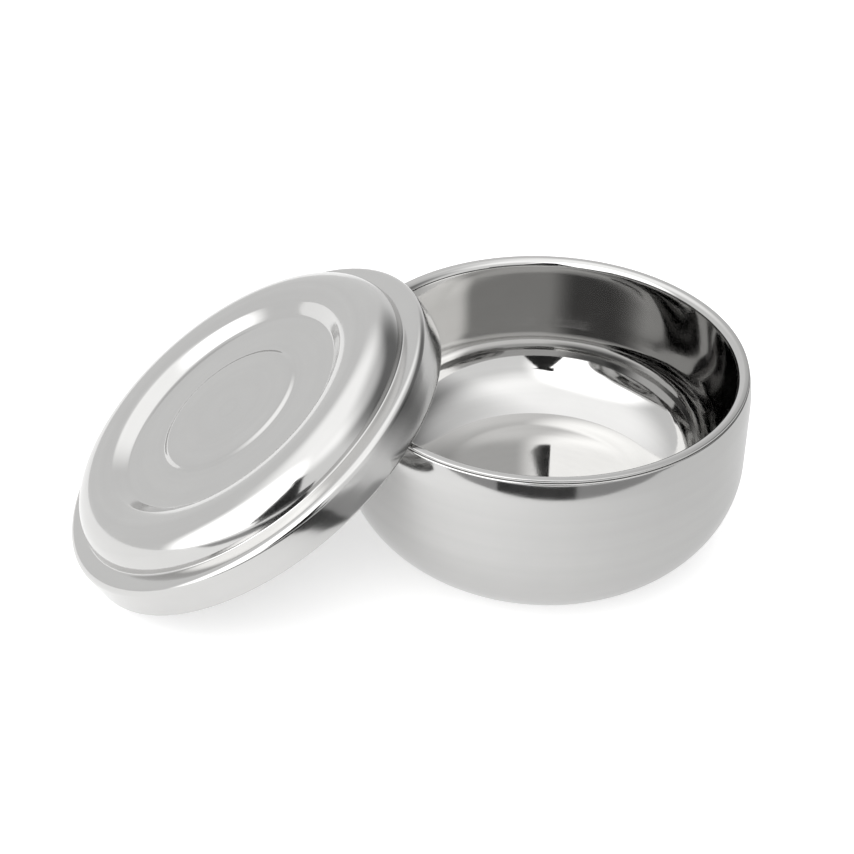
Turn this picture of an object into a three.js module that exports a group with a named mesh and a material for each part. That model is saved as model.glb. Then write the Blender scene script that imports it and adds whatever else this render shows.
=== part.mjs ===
// Double-walled stainless-steel shaving bowl with its pressed lid leaning against the rim.
// Millimetres, +Z up. The origin is the centre of the bowl's flat base, on the surface it stands on.
// The lid leans towards -X: its lower edge stands on the same surface and the inner edge of its
// skirt rests on the bowl's rim at two points, one at each side of the XZ plane.
import * as THREE from "three";

// Bowl, outer shell
const BOWL_HEIGHT = 56; // base to the rim's outer edge
const BULGE_RADIUS = 55.5; // widest part of the wall
const RIM_DRAW = 1.1; // how much the rim is drawn in from the widest part
const SHOULDER_DROP = 8.5; // the wall rounds in to the rim over this height
const CORNER_TOP = 29.5; // the wall rounds in to the base below this
const CORNER_SINK = 0.5; // how far below the base the corner's ellipse would reach
const BASE_RADIUS = 28; // flat disc that the bowl stands on
const SHELL_SHEET = 0.8;

// Bowl, inner shell
const LAND_WIDTH = 1.2; // flat top of the rim, from its outer edge to the lip
const LIP_ROUND = 1.9; // radius of the lip, which turns the flat top down into the liner's wall
const FLOOR_HEIGHT = 12; // liner floor above the surface the bowl stands on
const COVE_RADIUS = 22; // liner wall to liner floor
const LINER_SHEET = 0.8;
const SEAM_GAP = 0.1; // between the rim's underside and the outer shell's edge

// Lid, from its skirt inwards, with heights along its own axis
const LID_SHEET = 0.7;
const LID_CLEARANCE = 2; // round the bowl's widest part when the lid is on
const SHELF_HEIGHT = 10; // skirt's bottom edge to the flat ring round the dome
const SHELF_WIDTH = 5.8; // from the skirt's outer face
const SKIRT_ROUND = 1.8; // skirt to shelf
const DOME_RISE = 8.5; // above the shelf
const FLANK_WIDTH = 8.9; // dome's foot to its crest
const CREST_WIDTH = 5.9; // crest to the shoulder, where it turns down into the recess
const CREST_FALL = 1; // over that width
const RECESS_WIDTH = 3.6; // shoulder to the flat panel
const RECESS_DEPTH = 2.8; // shoulder to the flat panel
const DISC_RADIUS = 20.4; // raised disc in the middle of the panel
const DISC_STEP = 0.7;
const DISC_SLOPE = 1.3; // width of the disc's sloping edge

// Lid's lean
const RIM_REACH = 7.576; // how far the bowl's rim reaches up into the lid's hollow
const REST_GAP = 0.3; // between the lid's skirt and the bowl's rim
const GROUND_GAP = 0.05; // between the lid's lower edge and the surface

// Sizes that follow from those
const rimRadius = BULGE_RADIUS - RIM_DRAW;
const bulgeHeight = BOWL_HEIGHT - SHOULDER_DROP;
const lidRadius = BULGE_RADIUS + LID_CLEARANCE + LID_SHEET;
const skirtInside = lidRadius - LID_SHEET;
const crossingHeight = BOWL_HEIGHT + REST_GAP - GROUND_GAP; // skirt meets rim, from the lid's lowest point

const SIDES = 48; // flats round each turned piece

const STEEL = { color: 0xc9c8c6, metalness: 1 };
const materials = {
  outerShell: new THREE.MeshStandardMaterial({ ...STEEL, roughness: 0.12 }),
  innerShell: new THREE.MeshStandardMaterial({ ...STEEL, roughness: 0.1 }),
  lid: new THREE.MeshStandardMaterial({ ...STEEL, roughness: 0.16 }),
};

const point = (radius, height) => new THREE.Vector2(radius, height);

// Points of an ellipse round (radius, height), from one angle to another in degrees, ends included.
function arc(radius, height, halfWidth, halfHeight, from, to, steps) {
  return Array.from({ length: steps + 1 }, (_, i) => {
    const angle = THREE.MathUtils.degToRad(from + ((to - from) * i) / steps);
    return point(radius + halfWidth * Math.cos(angle), height + halfHeight * Math.sin(angle));
  });
}

// Shifts an open face sideways by the sheet's thickness, to its left as it is walked.
function offset(face, thickness) {
  return face.map((p, i) => {
    const before = face[Math.max(i - 1, 0)];
    const after = face[Math.min(i + 1, face.length - 1)];
    const a = p.clone().sub(before).normalize();
    const b = after.clone().sub(p).normalize();
    if (i === 0) a.copy(b);
    if (i === face.length - 1) b.copy(a);
    const along = a.add(b).normalize();
    const mitre = thickness / Math.max(along.dot(b), 0.5);
    return point(p.x - along.y * mitre, p.y + along.x * mitre);
  });
}

// A closed turned piece: its outline runs up the outside, so that the faces point out.
function turned(name, outline, material) {
  const closed = [...outline];
  if (outline[0].x > 0) closed.push(outline[0].clone());
  const mesh = new THREE.Mesh(new THREE.LatheGeometry(closed, SIDES), material);
  mesh.name = name;
  return mesh;
}

// Centre of the lip's round, on the liner's outline
const lipRadius = rimRadius - LAND_WIDTH;
const lipHeight = BOWL_HEIGHT - LIP_ROUND;

// Height of the liner's underside at a radius: flat under the rim's top, then round under the lip
function rimUnderside(radius) {
  const inward = Math.max(lipRadius - radius, 0);
  return lipHeight + Math.sqrt((LIP_ROUND - LINER_SHEET) ** 2 - inward ** 2);
}

// Radius of the wall's rounded shoulder, which passes through the rim's outer edge
const shoulderRadius = (SHOULDER_DROP ** 2 + RIM_DRAW ** 2) / (2 * RIM_DRAW);

// Outer face of the outer shell, from the base's centre up to its edge under the rim
function outerFace() {
  const sinBase = CORNER_TOP / (CORNER_TOP + CORNER_SINK);
  const cosBase = Math.sqrt(1 - sinBase ** 2);
  const centre = (BASE_RADIUS - BULGE_RADIUS * cosBase) / (1 - cosBase);
  const baseAngle = -THREE.MathUtils.radToDeg(Math.asin(sinBase));
  const edgeHeight = rimUnderside(rimRadius) - SEAM_GAP;
  const edgeAngle = THREE.MathUtils.radToDeg(Math.asin((edgeHeight - bulgeHeight) / shoulderRadius));
  return [
    point(0, 0),
    ...arc(centre, CORNER_TOP, BULGE_RADIUS - centre, CORNER_TOP + CORNER_SINK, baseAngle, 0, 9),
    ...arc(BULGE_RADIUS - shoulderRadius, bulgeHeight, shoulderRadius, shoulderRadius, 0, edgeAngle, 3),
  ];
}

// Drawn outer shell: base disc, round corner, bulging wall
function makeOuterShell() {
  const outer = outerFace();
  const inner = offset(outer, SHELL_SHEET);
  inner[0].x = 0;
  const top = inner[inner.length - 1];
  top.y = rimUnderside(top.x) - SEAM_GAP;
  return turned("bowl_outer_shell", [...outer, ...inner.reverse()], materials.outerShell);
}

// Visible face of the inner shell, from the floor's centre up to the rim's outer edge
function linerFace() {
  const coveRadius = lipRadius - LIP_ROUND - COVE_RADIUS;
  const coveHeight = FLOOR_HEIGHT + COVE_RADIUS;
  return [
    point(0, FLOOR_HEIGHT),
    ...arc(coveRadius, coveHeight, COVE_RADIUS, COVE_RADIUS, -90, 0, 8),
    ...arc(lipRadius, lipHeight, LIP_ROUND, LIP_ROUND, 180, 90, 4),
    point(rimRadius, BOWL_HEIGHT),
  ];
}

// Drawn liner: floor, cove, wall and the rounded lip that turns out over the outer shell's edge
function makeInnerShell() {
  const seen = linerFace();
  const hidden = offset(seen, -LINER_SHEET);
  hidden[0].x = 0;
  const edge = hidden[hidden.length - 1];
  edge.set(rimRadius, rimUnderside(rimRadius));
  return turned("bowl_inner_shell", [...hidden, ...seen.reverse()], materials.innerShell);
}

// Outer face of the lid, from the middle of the raised disc out and down to the skirt's edge
function lidFace() {
  const footRadius = lidRadius - SHELF_WIDTH;
  const crestRadius = footRadius - FLANK_WIDTH;
  const panelRadius = crestRadius - CREST_WIDTH - RECESS_WIDTH;
  const crestHeight = SHELF_HEIGHT + DOME_RISE;
  const panelHeight = crestHeight - CREST_FALL - RECESS_DEPTH;
  const crown = (CREST_WIDTH ** 2 + CREST_FALL ** 2) / (2 * CREST_FALL);
  const shoulderAngle = 90 + THREE.MathUtils.radToDeg(Math.asin(CREST_WIDTH / crown));
  return [
    point(0, panelHeight + DISC_STEP),
    point(DISC_RADIUS, panelHeight + DISC_STEP),
    point(DISC_RADIUS + DISC_SLOPE, panelHeight),
    point(panelRadius, panelHeight),
    ...arc(crestRadius, crestHeight - crown, crown, crown, shoulderAngle, 90, 3),
    ...arc(crestRadius, SHELF_HEIGHT, FLANK_WIDTH, DOME_RISE, 90, 0, 6).slice(1),
    ...arc(lidRadius - SKIRT_ROUND, SHELF_HEIGHT - SKIRT_ROUND, SKIRT_ROUND, SKIRT_ROUND, 90, 0, 3),
    point(lidRadius, 0),
  ];
}

// Pressed lid: skirt, shelf ring, dome, recessed panel and raised disc, all one sheet
function makeLid() {
  const outer = lidFace();
  const inner = offset(outer, -LID_SHEET);
  inner[0].x = 0;
  return turned("lid", [...inner, ...outer.reverse()], materials.lid);
}

// Distance from the bowl's axis to the lid's skirt centre at a lean, so that the inner edge of the
// skirt crosses the rim's outer edge just above it
function leanDistance(lean) {
  const cosine = (lidRadius - crossingHeight / Math.sin(lean)) / skirtInside;
  const sideways = skirtInside * Math.sqrt(1 - cosine ** 2);
  return Math.sqrt(rimRadius ** 2 - sideways ** 2) - skirtInside * cosine * Math.cos(lean);
}

// How far the rim reaches into the lid's hollow at a lean, measured from the skirt's bottom plane
function rimReach(lean) {
  const planeRise = lidRadius * Math.sin(lean) + (leanDistance(lean) - rimRadius) * Math.tan(lean);
  return (BOWL_HEIGHT - GROUND_GAP - planeRise) * Math.cos(lean);
}

// Lid's plane above the horizontal: the steeper it leans, the further the rim reaches in. The
// search runs between the lean whose highest point only just meets the rim and the lean whose
// skirt meets the rim at its widest.
function leanAngle() {
  const widest = Math.sqrt(skirtInside ** 2 - rimRadius ** 2);
  let low = Math.asin(crossingHeight / (lidRadius + skirtInside));
  let high = Math.asin(crossingHeight / (lidRadius + widest));
  for (let i = 0; i < 50; i++) {
    const middle = (low + high) / 2;
    if (rimReach(middle) < RIM_REACH) low = middle;
    else high = middle;
  }
  return (low + high) / 2;
}

// The lid stands on its lower edge and leans on the rim.
function makeLeaningLid() {
  const lean = leanAngle();
  const leaning = new THREE.Group();
  leaning.position.set(-leanDistance(lean), 0, lidRadius * Math.sin(lean) + GROUND_GAP);
  leaning.rotation.y = -lean;
  leaning.add(upright(makeLid()));
  return leaning;
}

// A lathe turns round Y: this stands its piece up along Z.
function upright(mesh) {
  mesh.rotation.x = Math.PI / 2;
  return mesh;
}

const bowlAndLid = new THREE.Group();
bowlAndLid.add(upright(makeOuterShell()), upright(makeInnerShell()), makeLeaningLid());

export default bowlAndLid;
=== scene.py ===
"""A double-walled polished-steel lather bowl, with its lid leaning on the rim, built on the CAD frame."""

import math

import bmesh
import bpy
from mathutils import Matrix, Vector


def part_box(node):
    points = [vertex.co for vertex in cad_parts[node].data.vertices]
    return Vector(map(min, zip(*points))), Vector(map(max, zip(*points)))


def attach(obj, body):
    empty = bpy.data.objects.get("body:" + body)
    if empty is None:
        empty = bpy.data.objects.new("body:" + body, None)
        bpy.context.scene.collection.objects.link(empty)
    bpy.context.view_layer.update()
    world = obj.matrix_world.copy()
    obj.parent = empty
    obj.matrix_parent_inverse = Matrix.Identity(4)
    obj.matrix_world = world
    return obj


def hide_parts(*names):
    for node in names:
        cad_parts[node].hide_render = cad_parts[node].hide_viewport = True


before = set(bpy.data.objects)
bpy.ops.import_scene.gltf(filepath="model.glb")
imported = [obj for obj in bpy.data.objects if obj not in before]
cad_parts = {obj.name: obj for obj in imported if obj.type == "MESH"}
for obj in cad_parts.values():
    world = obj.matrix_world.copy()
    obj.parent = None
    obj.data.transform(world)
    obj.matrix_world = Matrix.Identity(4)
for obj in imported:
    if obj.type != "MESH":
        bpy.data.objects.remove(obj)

bl_info = {
    "name": "Lather bowl",
    "version": (1, 0, 0),
    "blender": (4, 5, 0),
    "location": "View3D > Sidebar > Lather bowl",
    "description": "Builds a double-walled steel bowl, its leaning lid and a plain studio",
    "category": "Object",
}

MM = 0.001
OUTER_LOW, OUTER_HIGH = (Vector(corner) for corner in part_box("bowl_outer_shell"))
INNER_LOW, INNER_HIGH = (Vector(corner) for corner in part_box("bowl_inner_shell"))
LID_LOW, LID_HIGH = (Vector(corner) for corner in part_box("lid"))

OUTLINE_STEP = 0.08 * MM  # spacing while an outline is being softened
KEPT_TURN = math.radians(2.2)  # an outline keeps a point at least this often as it turns
KEPT_LENGTH = 2.5 * MM  # and at least this often where it runs straight

LINE_DEPTH = 0.0005 * MM  # turning lines left by the polishing
RIPPLE_DEPTH = 0.012 * MM  # slow waves in the pressed sheet
BROAD_HAZE = 0.02  # extra roughness in the broader turning bands

STUDIO_RADIUS = 4.0
FLOOR_GLOW = 0.45
MIRROR_GLOW = 0.55  # the mirrored floor's own light, which leaves its shadows faint
MIRROR_MATT = 0.55  # share of its colour that the room lights
MIRROR_FADE = 0.12  # painted light: it darkens from this far left of the bowl's axis to this far right, a painted pool of the front-left softbox's light on the mirrored floor
MIRROR_LIT_LEFT = 1.15  # share of its colour at the left, where the painted light is brightest
MIRROR_SHADED_RIGHT = 0.74  # and at the right, where it is painted darker
TABLE_EDGE = -0.117  # front edge of the table, beyond which it is dark
TABLE_FAR = -0.30
TABLE_FADE = -0.20  # the dark past the table fades out from here
CAMERA_PLANE = -0.47  # the camera and its stand
NEAR_BLACK = (0.02, 0.02, 0.02)


def length(name, description, default):
    """A size in metres that a user can change."""
    return bpy.props.FloatProperty(
        name=name,
        description=description,
        default=default,
        min=0.0,
        precision=5,
        unit="LENGTH",
        subtype="DISTANCE",
    )


def angle(name, description, degrees):
    """An angle that a user can change, with its default in degrees."""
    return bpy.props.FloatProperty(
        name=name, description=description, default=math.radians(degrees), subtype="ANGLE"
    )


def share(name, description, default, highest=1.0):
    """A plain number from nought up."""
    return bpy.props.FloatProperty(name=name, description=description, default=default, min=0.0, max=highest)


def colour(name, description, default):
    """A linear colour without alpha."""
    return bpy.props.FloatVectorProperty(
        name=name, description=description, default=default, size=3, min=0.0, max=1.0, subtype="COLOR"
    )


class BowlSizes(bpy.types.PropertyGroup):
    """Sizes of the bowl's two shells that its box doesn't give."""

    sides: bpy.props.IntProperty(
        name="Sides", description="Faces round each turned piece", default=288, min=24
    )
    bulge_height: length("Bulge height", "Height of the widest part of the wall", 47.5 * MM)
    corner_top: length("Corner top", "Height below which the wall rounds in to the base", 29.5 * MM)
    corner_sink: length("Corner sink", "How far below the base the corner's ellipse would reach", 0.5 * MM)
    base_radius: length("Base radius", "Flat disc that the bowl stands on", 28 * MM)
    sheet: length("Sheet", "Thickness of both drawn shells", 0.8 * MM)
    land_width: length("Rim width", "Flat top of the rim, from its outer edge to the lip", 1.2 * MM)
    lip_round: length("Lip round", "Radius of the lip, down into the liner's wall", 1.9 * MM)
    cove_radius: length("Cove radius", "Liner wall to liner floor", 22 * MM)
    seam_gap: length("Seam gap", "Joint line under the rim", 0.1 * MM)
    edge_softness: length("Edge softness", "How far the polishing has rounded the edges", 0.16 * MM)


class LidSizes(bpy.types.PropertyGroup):
    """Sizes of the pressed lid, measured along its axis from the skirt's bottom edge."""

    sides: bpy.props.IntProperty(name="Sides", description="Faces round the lid", default=288, min=24)
    lean: angle("Lean", "Lid's plane above the horizontal", 33.3)
    shelf_height: length("Shelf height", "Flat ring round the dome", 10 * MM)
    skirt_round: length("Skirt round", "Radius from skirt to shelf", 1.8 * MM)
    dome_foot: length("Dome foot", "Radius where the dome meets the shelf", 52.4 * MM)
    dome_crest: length("Dome crest", "Radius of the dome's highest ring", 43.5 * MM)
    dome_height: length("Dome height", "Height of the dome's highest ring", 18.5 * MM)
    shoulder_radius: length("Shoulder radius", "Where the crest turns down into the recess", 37.6 * MM)
    shoulder_height: length("Shoulder height", "Height of that turn", 17.5 * MM)
    panel_radius: length("Panel radius", "Flat recessed panel", 34 * MM)
    panel_height: length("Panel height", "Height of the recessed panel", 14.7 * MM)
    disc_radius: length("Disc radius", "Raised disc in the middle", 20.4 * MM)
    disc_step: length("Disc step", "How far the disc is raised", 0.7 * MM)
    disc_slope: length("Disc slope", "Width of the disc's sloping edge", 1.3 * MM)
    sheet: length("Sheet", "Thickness of the pressed sheet", 0.7 * MM)
    press_softness: length("Press softness", "How far the pressing rounds each bend", 0.35 * MM)


class SteelFinish(bpy.types.PropertyGroup):
    """Colour and polish of the stainless steel."""

    outside: colour("Outside", "Outer shell", (0.572, 0.569, 0.562))
    inside: colour("Inside", "Inner shell and rim", (0.572, 0.569, 0.562))
    lid: colour("Lid", "Pressed lid", (0.572, 0.569, 0.562))
    inside_polish: share("Inside polish", "Roughness of the mirror-polished liner", 0.035)
    outside_polish: share("Outside polish", "Roughness of the outer wall", 0.09)
    lid_polish: share("Lid polish", "Roughness of the lid", 0.095)
    softness: share("Softness", "Extra roughness where the buffing shows", 0.05)


class StudioSettings(bpy.types.PropertyGroup):
    """Camera, floor and lights."""

    floor: colour("Floor", "Pale floor", (0.90, 0.90, 0.90))
    mirrored_floor: colour("Mirrored floor", "The floor as the steel mirrors it", (0.92, 0.92, 0.92))
    heading: angle("Heading", "Camera's turn about the upright axis", -5.86)
    elevation: angle("Elevation", "Camera's angle above the horizontal", 35.565)
    roll: angle("Roll", "Camera's turn about its own axis", 0.688)
    distance: length("Distance", "From the camera to the point it looks at", 0.5698)
    lens: bpy.props.FloatProperty(name="Lens", description="Focal length", default=84.29, unit="CAMERA")


# ---------------------------------------------------------------- outlines


def arc(centre, half_width, half_height, start, end, steps=48):
    """Points of an ellipse from one angle to another, in degrees, both ends included."""
    points = []
    for i in range(steps + 1):
        turn = math.radians(start + (end - start) * i / steps)
        across = half_width * math.cos(turn)
        up = half_height * math.sin(turn)
        points.append(Vector((centre[0] + across, centre[1] + up)))
    return points


def offset(face, thickness):
    """The face moved sideways by the sheet's thickness, to its left as it is walked."""
    moved = []
    for i, here in enumerate(face):
        before = face[max(i - 1, 0)]
        after = face[min(i + 1, len(face) - 1)]
        arriving = (here - before).normalized() if i else (after - here).normalized()
        leaving = (after - here).normalized() if i < len(face) - 1 else arriving
        along = (arriving + leaving).normalized()
        mitre = thickness / max(along.dot(leaving), 0.5)
        moved.append(here + Vector((-along.y, along.x)) * mitre)
    return moved


def resampled(points, step):
    """The same outline with evenly spaced points."""
    fine = []
    for a, b in zip(points, points[1:]):
        count = max(1, math.ceil((b - a).length / step))
        fine.extend(a.lerp(b, i / count) for i in range(count))
    return fine + [points[-1].copy()]


def softened(points, width):
    """An outline whose bends are rounded over about the given width. Its two ends stay where they are."""
    fine = resampled(points, OUTLINE_STEP)
    reach = max(1, round(width / OUTLINE_STEP))
    for _ in range(3):
        sums = [Vector((0.0, 0.0))]
        for p in fine:
            sums.append(sums[-1] + p)
        last = len(fine) - 1
        smooth = []
        for i in range(len(fine)):
            near = min(reach, i, last - i)
            smooth.append((sums[i + near + 1] - sums[i - near]) / (2 * near + 1))
        fine = smooth
    return fine


def thinned(points):
    """Keeps the points that the shape needs: more where it turns, fewer where it runs straight."""
    kept = [points[0]]
    turned = 0.0
    run = 0.0
    for before, here, after in zip(points, points[1:], points[2:]):
        run += (here - before).length
        turned += (here - before).angle(after - here, 0.0)
        if turned >= KEPT_TURN or run >= KEPT_LENGTH:
            kept.append(here)
            turned = 0.0
            run = 0.0
    return kept + [points[-1]]


def lip_centre(sizes):
    """Centre of the lip's round, on the liner's outline."""
    return Vector((INNER_HIGH.x - sizes.land_width, INNER_HIGH.z - sizes.lip_round))


def rim_underside(sizes, radius):
    """Height of the liner's underside at a radius: flat under the rim's top, then round under the lip."""
    centre = lip_centre(sizes)
    inward = max(centre.x - radius, 0.0)
    return centre.y + math.sqrt((sizes.lip_round - sizes.sheet) ** 2 - inward**2)


def outer_shell_face(sizes):
    """Outer face of the outer shell, from the base's centre up to its edge under the rim."""
    bulge = OUTER_HIGH.x
    sine = sizes.corner_top / (sizes.corner_top + sizes.corner_sink)
    cosine = math.sqrt(1 - sine**2)
    centre = (sizes.base_radius - bulge * cosine) / (1 - cosine)
    rise = INNER_HIGH.z - sizes.bulge_height
    draw = bulge - INNER_HIGH.x
    shoulder = (rise**2 + draw**2) / (2 * draw)
    edge = rim_underside(sizes, INNER_HIGH.x) - sizes.seam_gap
    edge_angle = math.degrees(math.asin((edge - sizes.bulge_height) / shoulder))
    corner = arc(
        (centre, sizes.corner_top),
        bulge - centre,
        sizes.corner_top + sizes.corner_sink,
        -math.degrees(math.asin(sine)),
        0,
    )
    upper = arc((bulge - shoulder, sizes.bulge_height), shoulder, shoulder, 0, edge_angle)
    return [Vector((0.0, 0.0))] + corner + upper


def liner_face(sizes):
    """Visible face of the inner shell, from the floor's centre up to the rim's outer edge."""
    centre = lip_centre(sizes)
    wall = centre.x - sizes.lip_round
    floor_height = INNER_LOW.z + sizes.sheet
    cove = arc(
        (wall - sizes.cove_radius, floor_height + sizes.cove_radius),
        sizes.cove_radius,
        sizes.cove_radius,
        -90,
        0,
    )
    lip_round = arc(centre, sizes.lip_round, sizes.lip_round, 180, 90)
    edge = Vector((INNER_HIGH.x, INNER_HIGH.z))
    return [Vector((0.0, floor_height))] + cove + lip_round + [edge]


def lid_face(sizes):
    """Outer face of the lid, from the middle of the raised disc out and down to the skirt's edge."""
    radius = LID_HIGH.y
    fall = sizes.dome_height - sizes.shoulder_height
    run = sizes.dome_crest - sizes.shoulder_radius
    crest = (run**2 + fall**2) / (2 * fall)
    shoulder_angle = 90 + math.degrees(math.asin(run / crest))
    disc_height = sizes.panel_height + sizes.disc_step
    middle = [
        Vector((0.0, disc_height)),
        Vector((sizes.disc_radius, disc_height)),
        Vector((sizes.disc_radius + sizes.disc_slope, sizes.panel_height)),
        Vector((sizes.panel_radius, sizes.panel_height)),
    ]
    crown = arc((sizes.dome_crest, sizes.dome_height - crest), crest, crest, shoulder_angle, 90)
    flank = arc(
        (sizes.dome_crest, sizes.shelf_height),
        sizes.dome_foot - sizes.dome_crest,
        sizes.dome_height - sizes.shelf_height,
        90,
        0,
    )
    corner = arc(
        (radius - sizes.skirt_round, sizes.shelf_height - sizes.skirt_round),
        sizes.skirt_round,
        sizes.skirt_round,
        90,
        0,
    )
    return middle + crown + flank[1:] + corner + [Vector((radius, 0.0))]


# ---------------------------------------------------------------- turned pieces


def lathe_tree():
    """Geometry Nodes: turns the outline held in a curve's points round the upright axis."""
    tree = bpy.data.node_groups.new("Turn on a lathe", "GeometryNodeTree")
    tree.interface.new_socket("Outline", in_out="INPUT", socket_type="NodeSocketGeometry")
    tree.interface.new_socket("Sides", in_out="INPUT", socket_type="NodeSocketInt")
    tree.interface.new_socket("Finish", in_out="INPUT", socket_type="NodeSocketMaterial")
    tree.interface.new_socket("Turned piece", in_out="OUTPUT", socket_type="NodeSocketGeometry")
    nodes = tree.nodes
    link = tree.links.new
    given = nodes.new("NodeGroupInput")
    made = nodes.new("NodeGroupOutput")

    def maths(operation, first, second):
        node = nodes.new("ShaderNodeMath")
        node.operation = operation
        for socket, value in zip(node.inputs, (first, second)):
            if isinstance(value, (int, float)):
                socket.default_value = value
            else:
                link(value, socket)
        return node.outputs[0]

    count = nodes.new("GeometryNodeAttributeDomainSize")
    count.component = "CURVE"
    link(given.outputs["Outline"], count.inputs["Geometry"])
    rows = maths("SUBTRACT", count.outputs["Point Count"], 1)
    grid = nodes.new("GeometryNodeMeshGrid")
    link(rows, grid.inputs["Size X"])
    link(given.outputs["Sides"], grid.inputs["Size Y"])
    link(count.outputs["Point Count"], grid.inputs["Vertices X"])
    link(maths("ADD", given.outputs["Sides"], 1), grid.inputs["Vertices Y"])
    place = nodes.new("GeometryNodeInputPosition")
    split = nodes.new("ShaderNodeSeparateXYZ")
    link(place.outputs[0], split.inputs[0])
    row = maths("ROUND", maths("ADD", split.outputs["X"], maths("MULTIPLY", rows, 0.5)), 0)
    column = maths("ADD", split.outputs["Y"], maths("MULTIPLY", given.outputs["Sides"], 0.5))
    angle = maths("MULTIPLY", maths("DIVIDE", column, given.outputs["Sides"]), math.tau)
    sample = nodes.new("GeometryNodeSampleIndex")
    sample.data_type = "FLOAT_VECTOR"
    sample.domain = "POINT"
    link(given.outputs["Outline"], sample.inputs["Geometry"])
    link(place.outputs[0], sample.inputs["Value"])
    link(row, sample.inputs["Index"])
    turn = nodes.new("ShaderNodeVectorRotate")
    turn.rotation_type = "Z_AXIS"
    link(sample.outputs[0], turn.inputs["Vector"])
    link(angle, turn.inputs["Angle"])
    move = nodes.new("GeometryNodeSetPosition")
    link(grid.outputs["Mesh"], move.inputs["Geometry"])
    link(turn.outputs[0], move.inputs["Position"])
    merge = nodes.new("GeometryNodeMergeByDistance")
    merge.inputs["Distance"].default_value = 0.002 * MM
    link(move.outputs[0], merge.inputs["Geometry"])
    smooth = nodes.new("GeometryNodeSetShadeSmooth")
    link(merge.outputs[0], smooth.inputs["Geometry"])
    real = nodes.new("GeometryNodeRealizeInstances")
    link(smooth.outputs[0], real.inputs["Geometry"])
    finish = nodes.new("GeometryNodeSetMaterial")
    link(real.outputs[0], finish.inputs["Geometry"])
    link(given.outputs["Finish"], finish.inputs["Material"])
    link(finish.outputs[0], made.inputs["Turned piece"])
    return tree


def socket_id(tree, name):
    """Identifier of a tree's input."""
    return next(item.identifier for item in tree.interface.items_tree if item.name == name)


def turned_piece(name, outline, sides, material, placing=None):
    """Turns a closed outline into a plain mesh object at the origin."""
    curve = bpy.data.curves.new(name + "_outline", "CURVE")
    curve.dimensions = "3D"
    spline = curve.splines.new("POLY")
    spline.points.add(len(outline) - 1)
    for point, (radius, height) in zip(spline.points, outline):
        point.co = (radius, 0.0, height, 1.0)
    drawn = bpy.data.objects.new(name + "_outline", curve)
    bpy.context.collection.objects.link(drawn)
    tree = bpy.data.node_groups.get("Turn on a lathe") or lathe_tree()
    lathe = drawn.modifiers.new("Lathe", "NODES")
    lathe.node_group = tree
    lathe[socket_id(tree, "Sides")] = sides
    lathe[socket_id(tree, "Finish")] = material
    ready = drawn.evaluated_get(bpy.context.evaluated_depsgraph_get())
    mesh = bpy.data.meshes.new_from_object(ready)
    mesh.name = name
    if placing is not None:
        mesh.transform(placing)
    bpy.data.objects.remove(drawn)
    bpy.data.curves.remove(curve)
    piece = bpy.data.objects.new(name, mesh)
    bpy.context.collection.objects.link(piece)
    if not mesh.materials:
        mesh.materials.append(material)
    return piece


# ---------------------------------------------------------------- steel


class Shader:
    """Short hand for wiring a material's nodes."""

    def __init__(self, name):
        self.material = bpy.data.materials.new(name)
        self.material.use_nodes = True
        self.nodes = self.material.node_tree.nodes
        self.links = self.material.node_tree.links
        self.surface = self.nodes["Principled BSDF"]

    def plug(self, value, socket):
        if isinstance(value, bpy.types.NodeSocket):
            self.links.new(value, socket)
        else:
            socket.default_value = value

    def add(self, kind, output=0, settings=None, **inputs):
        node = self.nodes.new(kind)
        for key, value in (settings or {}).items():
            setattr(node, key, value)
        for key, value in inputs.items():
            self.plug(value, node.inputs[key.replace("_", " ")])
        return node.outputs[output]

    def maths(self, operation, first, second=0.0, clamp=False):
        node = self.nodes.new("ShaderNodeMath")
        node.operation = operation
        node.use_clamp = clamp
        self.plug(first, node.inputs[0])
        self.plug(second, node.inputs[1])
        return node.outputs[0]

    def noise(self, vector, scale, detail=2.0, roughness=0.5):
        return self.add(
            "ShaderNodeTexNoise", "Fac", Vector=vector, Scale=scale, Detail=detail, Roughness=roughness
        )

    def stretched(self, value, low, high, to_low, to_high):
        return self.add(
            "ShaderNodeMapRange",
            0,
            {"clamp": True},
            Value=value,
            From_Min=low,
            From_Max=high,
            To_Min=to_low,
            To_Max=to_high,
        )


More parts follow.
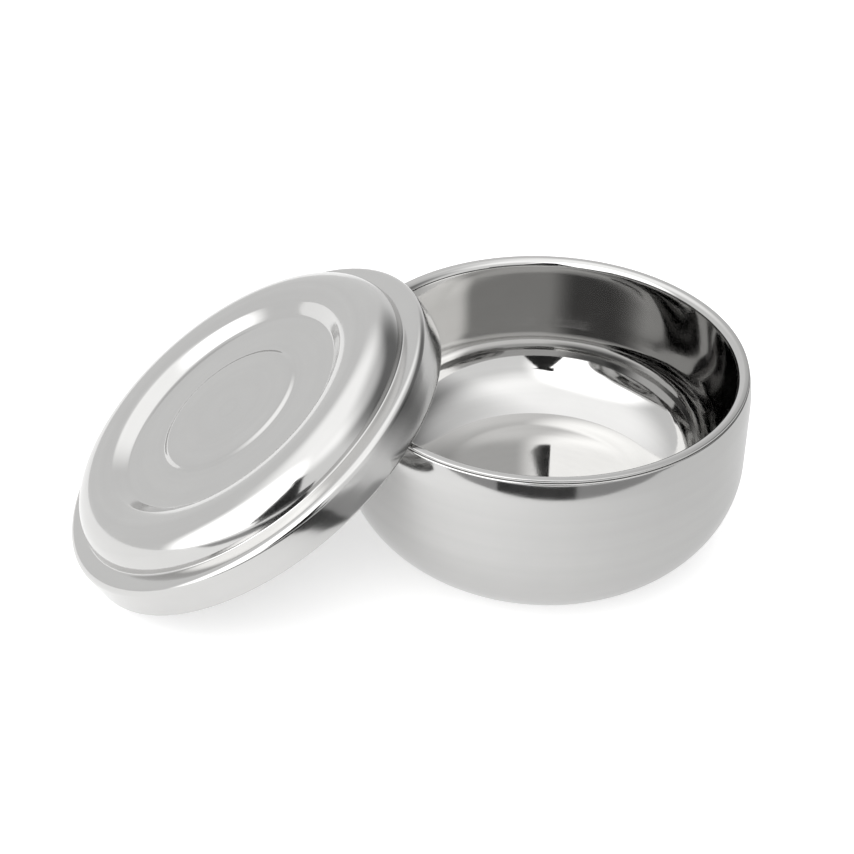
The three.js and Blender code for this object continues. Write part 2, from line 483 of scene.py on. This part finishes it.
def steel(name, tint, finish, polish, centre=(0.0, 0.0, 0.0), turn=(0.0, 0.0, 0.0)):
    """Polished steel with turning lines round the piece's own axis, slight ripples and smudges."""
    shader = Shader(name)
    place = shader.add("ShaderNodeTexCoord", "Object")
    mapping = shader.nodes.new("ShaderNodeMapping")
    mapping.vector_type = "TEXTURE"
    mapping.inputs["Location"].default_value = centre
    mapping.inputs["Rotation"].default_value = turn
    shader.links.new(place, mapping.inputs["Vector"])
    own = mapping.outputs[0]
    split = shader.nodes.new("ShaderNodeSeparateXYZ")
    shader.links.new(own, split.inputs[0])
    across, along = (shader.maths("POWER", split.outputs[axis], 2.0) for axis in "XY")
    radius = shader.maths("SQRT", shader.maths("ADD", across, along))
    rings = shader.add("ShaderNodeCombineXYZ", 0, X=radius, Y=split.outputs["Z"], Z=0.0)

    lines = shader.noise(rings, 1900.0, 2.0, 0.7)
    broad = shader.noise(rings, 420.0, 2.0, 0.6)
    ripple = shader.noise(own, 55.0, 1.0, 0.4)
    smudge = shader.noise(own, 70.0, 4.0, 0.6)

    shine = shader.stretched(smudge, 0.35, 0.75, polish, polish + finish.softness)
    shine = shader.maths("ADD", shine, shader.stretched(broad, 0.45, 0.8, 0.0, BROAD_HAZE))
    shader.plug(shine, shader.surface.inputs["Roughness"])

    tone = shader.stretched(shader.maths("MULTIPLY", smudge, broad), 0.1, 0.4, 0.0, 1.0)
    blend = shader.nodes.new("ShaderNodeMix")
    blend.data_type = "RGBA"
    shader.plug(tone, blend.inputs["Factor"])
    blend.inputs["A"].default_value = (*(value * 0.965 for value in tint), 1.0)
    blend.inputs["B"].default_value = (*tint, 1.0)
    shader.plug(blend.outputs["Result"], shader.surface.inputs["Base Color"])

    waves = shader.add("ShaderNodeBump", 0, Strength=1.0, Distance=RIPPLE_DEPTH, Height=ripple)
    turning = shader.add(
        "ShaderNodeBump", 0, Strength=1.0, Distance=LINE_DEPTH, Height=lines, Normal=waves
    )
    shader.plug(turning, shader.surface.inputs["Normal"])
    shader.surface.inputs["Metallic"].default_value = 1.0
    shader.surface.inputs["Anisotropic"].default_value = 0.0
    return shader.material


# ---------------------------------------------------------------- operators


def finished(piece, body, node):
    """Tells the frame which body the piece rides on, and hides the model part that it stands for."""
    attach(piece, body)
    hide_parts(node)


class OuterShellOperator(bpy.types.Operator):
    """Turns the bowl's outer shell: base disc, round corner and bulging wall"""

    bl_idname = "lather_bowl.outer_shell"
    bl_label = "Outer shell"

    def execute(self, context):
        sizes = context.scene.bowl_sizes
        finish = context.scene.steel_finish
        face = outer_shell_face(sizes)
        back = offset(face, sizes.sheet)
        back[0].x = 0.0
        back[-1].y = rim_underside(sizes, back[-1].x) - sizes.seam_gap
        outline = thinned(softened(face + back[::-1], sizes.edge_softness))
        material = steel("outer_shell_steel", finish.outside, finish, finish.outside_polish)
        piece = turned_piece("outer_shell", outline, sizes.sides, material)
        finished(piece, "bowl", "bowl_outer_shell")
        return {"FINISHED"}


class InnerShellOperator(bpy.types.Operator):
    """Turns the bowl's inner shell: floor, cove, wall and rounded lip"""

    bl_idname = "lather_bowl.inner_shell"
    bl_label = "Inner shell"

    def execute(self, context):
        sizes = context.scene.bowl_sizes
        finish = context.scene.steel_finish
        face = liner_face(sizes)
        back = offset(face, -sizes.sheet)
        back[0].x = 0.0
        back[-1] = Vector((INNER_HIGH.x, rim_underside(sizes, INNER_HIGH.x)))
        outline = thinned(softened(back + face[::-1], sizes.edge_softness))
        material = steel("inner_shell_steel", finish.inside, finish, finish.inside_polish)
        piece = turned_piece("inner_shell", outline, sizes.sides, material)
        finished(piece, "bowl", "bowl_inner_shell")
        return {"FINISHED"}


class LidOperator(bpy.types.Operator):
    """Turns the pressed lid and leans it against the bowl"""

    bl_idname = "lather_bowl.lid"
    bl_label = "Lid"

    def execute(self, context):
        sizes = context.scene.lid_sizes
        finish = context.scene.steel_finish
        face = lid_face(sizes)
        back = offset(face, -sizes.sheet)
        back[0].x = 0.0
        outline = thinned(softened(back + face[::-1], sizes.press_softness))
        radius = LID_HIGH.y
        centre = Vector(
            (LID_HIGH.x - radius * math.cos(sizes.lean), 0.0, LID_LOW.z + radius * math.sin(sizes.lean))
        )
        placing = Matrix.Translation(centre) @ Matrix.Rotation(-sizes.lean, 4, "Y")
        material = steel("lid_steel", finish.lid, finish, finish.lid_polish, centre, (0.0, -sizes.lean, 0.0))
        piece = turned_piece("lid_pressing", outline, sizes.sides, material, placing)
        finished(piece, "lid", "lid")
        return {"FINISHED"}


def stage_card(name, corners, colour_value, seen=()):
    """A flat four-cornered card of the studio. It shows only to the kinds of ray that are listed in seen."""
    mesh = bpy.data.meshes.new(name)
    mesh.from_pydata(corners, [], [(0, 1, 2, 3)])
    return stage_object(name, mesh, colour_value, 0.0, seen)


def stage_object(name, mesh, colour_value, glow, seen, matt=1.0):
    """Adds a mesh to the studio with a plain matt finish, with a glow added to it."""
    thing = bpy.data.objects.new(name, mesh)
    bpy.context.collection.objects.link(thing)
    shader = Shader(name)
    shader.surface.inputs["Base Color"].default_value = (*(value * matt for value in colour_value), 1.0)
    shader.surface.inputs["Roughness"].default_value = 0.9
    shader.surface.inputs["Specular IOR Level"].default_value = 0.0
    shader.surface.inputs["Emission Color"].default_value = (*colour_value, 1.0)
    shader.surface.inputs["Emission Strength"].default_value = glow
    mesh.materials.append(shader.material)
    thing.visible_camera = "camera" in seen
    thing.visible_glossy = "glossy" in seen
    thing.visible_diffuse = "diffuse" in seen
    thing.visible_transmission = False
    thing.visible_shadow = "shadow" in seen
    return thing


def fade_colour(thing, axis, start, end, first, last, matt=1.0):
    """Lets a stage object's grey change along one of its axes, from first at start to last at end."""
    tree = thing.active_material.node_tree
    surface = tree.nodes["Principled BSDF"]
    place = tree.nodes.new("ShaderNodeTexCoord")
    split = tree.nodes.new("ShaderNodeSeparateXYZ")
    tree.links.new(place.outputs["Object"], split.inputs[0])
    fade = tree.nodes.new("ShaderNodeMapRange")
    fade.interpolation_type = "SMOOTHSTEP"
    tree.links.new(split.outputs[axis], fade.inputs["Value"])
    for socket, value in zip(("From Min", "From Max", "To Min", "To Max"), (start, end, first, last)):
        fade.inputs[socket].default_value = value
    dulled = tree.nodes.new("ShaderNodeMath")
    dulled.operation = "MULTIPLY"
    dulled.inputs[1].default_value = matt
    tree.links.new(fade.outputs[0], dulled.inputs[0])
    tree.links.new(dulled.outputs[0], surface.inputs["Base Color"])
    tree.links.new(fade.outputs[0], surface.inputs["Emission Color"])


def direction(azimuth, elevation):
    """A unit vector: azimuth from the camera's side round to the right, both angles in degrees."""
    flat = math.cos(math.radians(elevation))
    return Vector(
        (
            flat * math.sin(math.radians(azimuth)),
            -flat * math.cos(math.radians(azimuth)),
            math.sin(math.radians(elevation)),
        )
    )


# The studio's soft lights and dark corners: azimuth, elevation, half-width of the even middle,
# half-width where it has faded out, and how much brighter or darker than the room, angles in degrees
SOFT_SHAPES = (
    ("big softbox, front left", -44, 24, 26, 46, 1.75),
    ("fill, front right", 34, 28, 22, 52, 0.16),
    ("dark corner, back right", 108, 34, 22, 54, -0.70),
    ("dark corner, right", 85, 0, 8, 26, -0.15),
)
ROOM_LOW = 0.90  # brightness of the room near the horizon
ROOM_HIGH = 1.55  # and overhead
ROOM_FADE = (35, 62)  # elevations between which it changes, in degrees


def studio_world(scene):
    """A room that is bright overhead, with soft-edged lights and dark corners to mirror in the steel."""
    world = bpy.data.worlds.new("Studio")
    world.use_nodes = True
    nodes = world.node_tree.nodes
    link = world.node_tree.links.new
    place = nodes.new("ShaderNodeTexCoord").outputs["Generated"]

    def facing(towards, full, none, gain):
        dot = nodes.new("ShaderNodeVectorMath")
        dot.operation = "DOT_PRODUCT"
        link(place, dot.inputs[0])
        dot.inputs[1].default_value = towards
        fade = nodes.new("ShaderNodeMapRange")
        fade.interpolation_type = "SMOOTHSTEP"
        link(dot.outputs["Value"], fade.inputs["Value"])
        fade.inputs["From Min"].default_value = none
        fade.inputs["From Max"].default_value = full
        fade.inputs["To Max"].default_value = gain
        return fade.outputs[0]

    def added(first, second):
        total = nodes.new("ShaderNodeMath")
        total.operation = "ADD"
        link(first, total.inputs[0])
        if isinstance(second, float):
            total.inputs[1].default_value = second
        else:
            link(second, total.inputs[1])
        return total.outputs[0]

    low, high = (math.sin(math.radians(angle)) for angle in ROOM_FADE)
    light = added(facing((0, 0, 1), high, low, ROOM_HIGH - ROOM_LOW), ROOM_LOW)
    for _, azimuth, elevation, even, faded, gain in SOFT_SHAPES:
        shape = facing(
            direction(azimuth, elevation), math.cos(math.radians(even)), math.cos(math.radians(faded)), gain
        )
        light = added(light, shape)
    link(light, nodes["Background"].inputs["Strength"])
    nodes["Background"].inputs["Color"].default_value = (1.0, 1.0, 1.0, 1.0)
    scene.world = world


class StageOperator(bpy.types.Operator):
    """Lays the floor, lights the room and sets the camera"""

    bl_idname = "lather_bowl.stage"
    bl_label = "Studio"

    def execute(self, context):
        studio = context.scene.studio
        studio_world(context.scene)
        self.floor(studio)
        self.dark_shapes(studio)
        self.camera(context, studio)
        context.scene.view_settings.view_transform = "Standard"
        return {"FINISHED"}

    def floor(self, studio):
        """A round pale floor, its duller double for the mirrored view with a painted pool of light at its
        left, and a plain room for the camera.
        """
        for name, finish, glow, level, seen in (
            ("floor", studio.floor, FLOOR_GLOW, -0.2 * MM, ("camera", "diffuse", "shadow")),
            ("mirrored_floor", studio.mirrored_floor, MIRROR_GLOW, -0.1 * MM, ("glossy",)),
        ):
            disc = bmesh.new()
            bmesh.ops.create_circle(disc, cap_ends=True, radius=STUDIO_RADIUS, segments=96)
            mesh = bpy.data.meshes.new(name)
            disc.to_mesh(mesh)
            disc.free()
            mesh.transform(Matrix.Translation((0, 0, level)))
            disc_object = stage_object(name, mesh, finish, glow, seen)
        # Painted light: the mirrored floor's colour and glow fade from bright at the left to darker at the
        # right, a painted pool of the front-left softbox's light.
        shade = studio.mirrored_floor[0]
        left = min(1.0, shade * MIRROR_LIT_LEFT)
        fade_colour(disc_object, "X", -MIRROR_FADE, MIRROR_FADE, left, shade * MIRROR_SHADED_RIGHT, MIRROR_MATT)
        dome = bmesh.new()
        bmesh.ops.create_uvsphere(dome, u_segments=48, v_segments=24, radius=STUDIO_RADIUS * 1.02)
        room = bpy.data.meshes.new("room")
        dome.to_mesh(room)
        dome.free()
        stage_object("room", room, (1.0, 1.0, 1.0), 1.0, ("camera",), matt=0.0)

    def dark_shapes(self, studio):
        """What the steel mirrors in front: the camera on its stand, and the dark past the table."""
        edge = TABLE_EDGE
        far = TABLE_FAR
        level = 20 * MM
        for name, near_left, near_right, far_left, far_right, grey in (
            ("past_table_left", -0.14, -0.059, -0.437, -0.171, 0.30),
            ("past_table", -0.059, 0.010, -0.171, 0.038, 0.036),
            ("past_table_right", 0.010, 0.20, 0.038, 0.318, 0.27),
        ):
            card = stage_card(
                name,
                [
                    (near_left, edge, level),
                    (far_left, far, level),
                    (far_right, far, level),
                    (near_right, edge, level),
                ],
                (grey, grey, grey),
                seen=("glossy",),
            )
            fade_colour(card, "Y", far, TABLE_FADE, studio.mirrored_floor[0], grey)
        stage_card(
            "far_low_dark",
            [(-0.30, -1.2, 0), (-0.30, -1.2, 0.27), (0.6, -1.2, 0.27), (0.6, -1.2, 0)],
            (0.10, 0.10, 0.10),
            seen=("glossy",),
        )
        for name, corners in (
            ("camera_stand", ((-0.222, 0.08), (-0.10, 0.43), (-0.045, 0.43), (0.073, 0.08))),
            ("camera_body", ((-0.137, 0.468), (-0.118, 0.468), (0.0, 0.402), (-0.137, 0.402))),
        ):
            stage_card(name, [(x, CAMERA_PLANE, z) for x, z in corners], NEAR_BLACK, seen=("glossy",))

    def camera(self, context, studio):
        """Puts the camera on its heading, looking at a point between the bowl and the lid."""
        aim = Vector((-0.02997, 0.01879, 0.0219))
        turn = (
            Matrix.Rotation(studio.heading, 4, "Z")
            @ Matrix.Rotation(math.radians(90) - studio.elevation, 4, "X")
            @ Matrix.Rotation(studio.roll, 4, "Z")
        )
        camera = bpy.data.cameras.new("camera")
        camera.lens = studio.lens
        camera.sensor_width = 36.0
        camera.clip_start = 0.01
        holder = bpy.data.objects.new("camera", camera)
        holder.matrix_world = Matrix.Translation(aim) @ turn @ Matrix.Translation((0, 0, studio.distance))
        context.collection.objects.link(holder)
        context.scene.camera = holder


class LatherBowlPanel(bpy.types.Panel):
    """Lists the steps that build the bowl"""

    bl_idname = "VIEW3D_PT_lather_bowl"
    bl_label = "Lather bowl"
    bl_space_type = "VIEW_3D"
    bl_region_type = "UI"
    bl_category = "Lather bowl"

    def draw(self, context):
        for step in STEPS:
            self.layout.operator(step.bl_idname)


STEPS = (OuterShellOperator, InnerShellOperator, LidOperator, StageOperator)
SETTINGS = {
    "bowl_sizes": BowlSizes,
    "lid_sizes": LidSizes,
    "steel_finish": SteelFinish,
    "studio": StudioSettings,
}


def register():
    for kind in (*SETTINGS.values(), *STEPS, LatherBowlPanel):
        bpy.utils.register_class(kind)
    for name, kind in SETTINGS.items():
        setattr(bpy.types.Scene, name, bpy.props.PointerProperty(type=kind))


def unregister():
    for name in SETTINGS:
        delattr(bpy.types.Scene, name)
    for kind in reversed((*SETTINGS.values(), *STEPS, LatherBowlPanel)):
        bpy.utils.unregister_class(kind)


def main():
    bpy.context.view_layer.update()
    register()
    bpy.ops.lather_bowl.outer_shell()
    bpy.ops.lather_bowl.inner_shell()
    bpy.ops.lather_bowl.lid()
    bpy.ops.lather_bowl.stage()


if __name__ == "__main__":
    main()
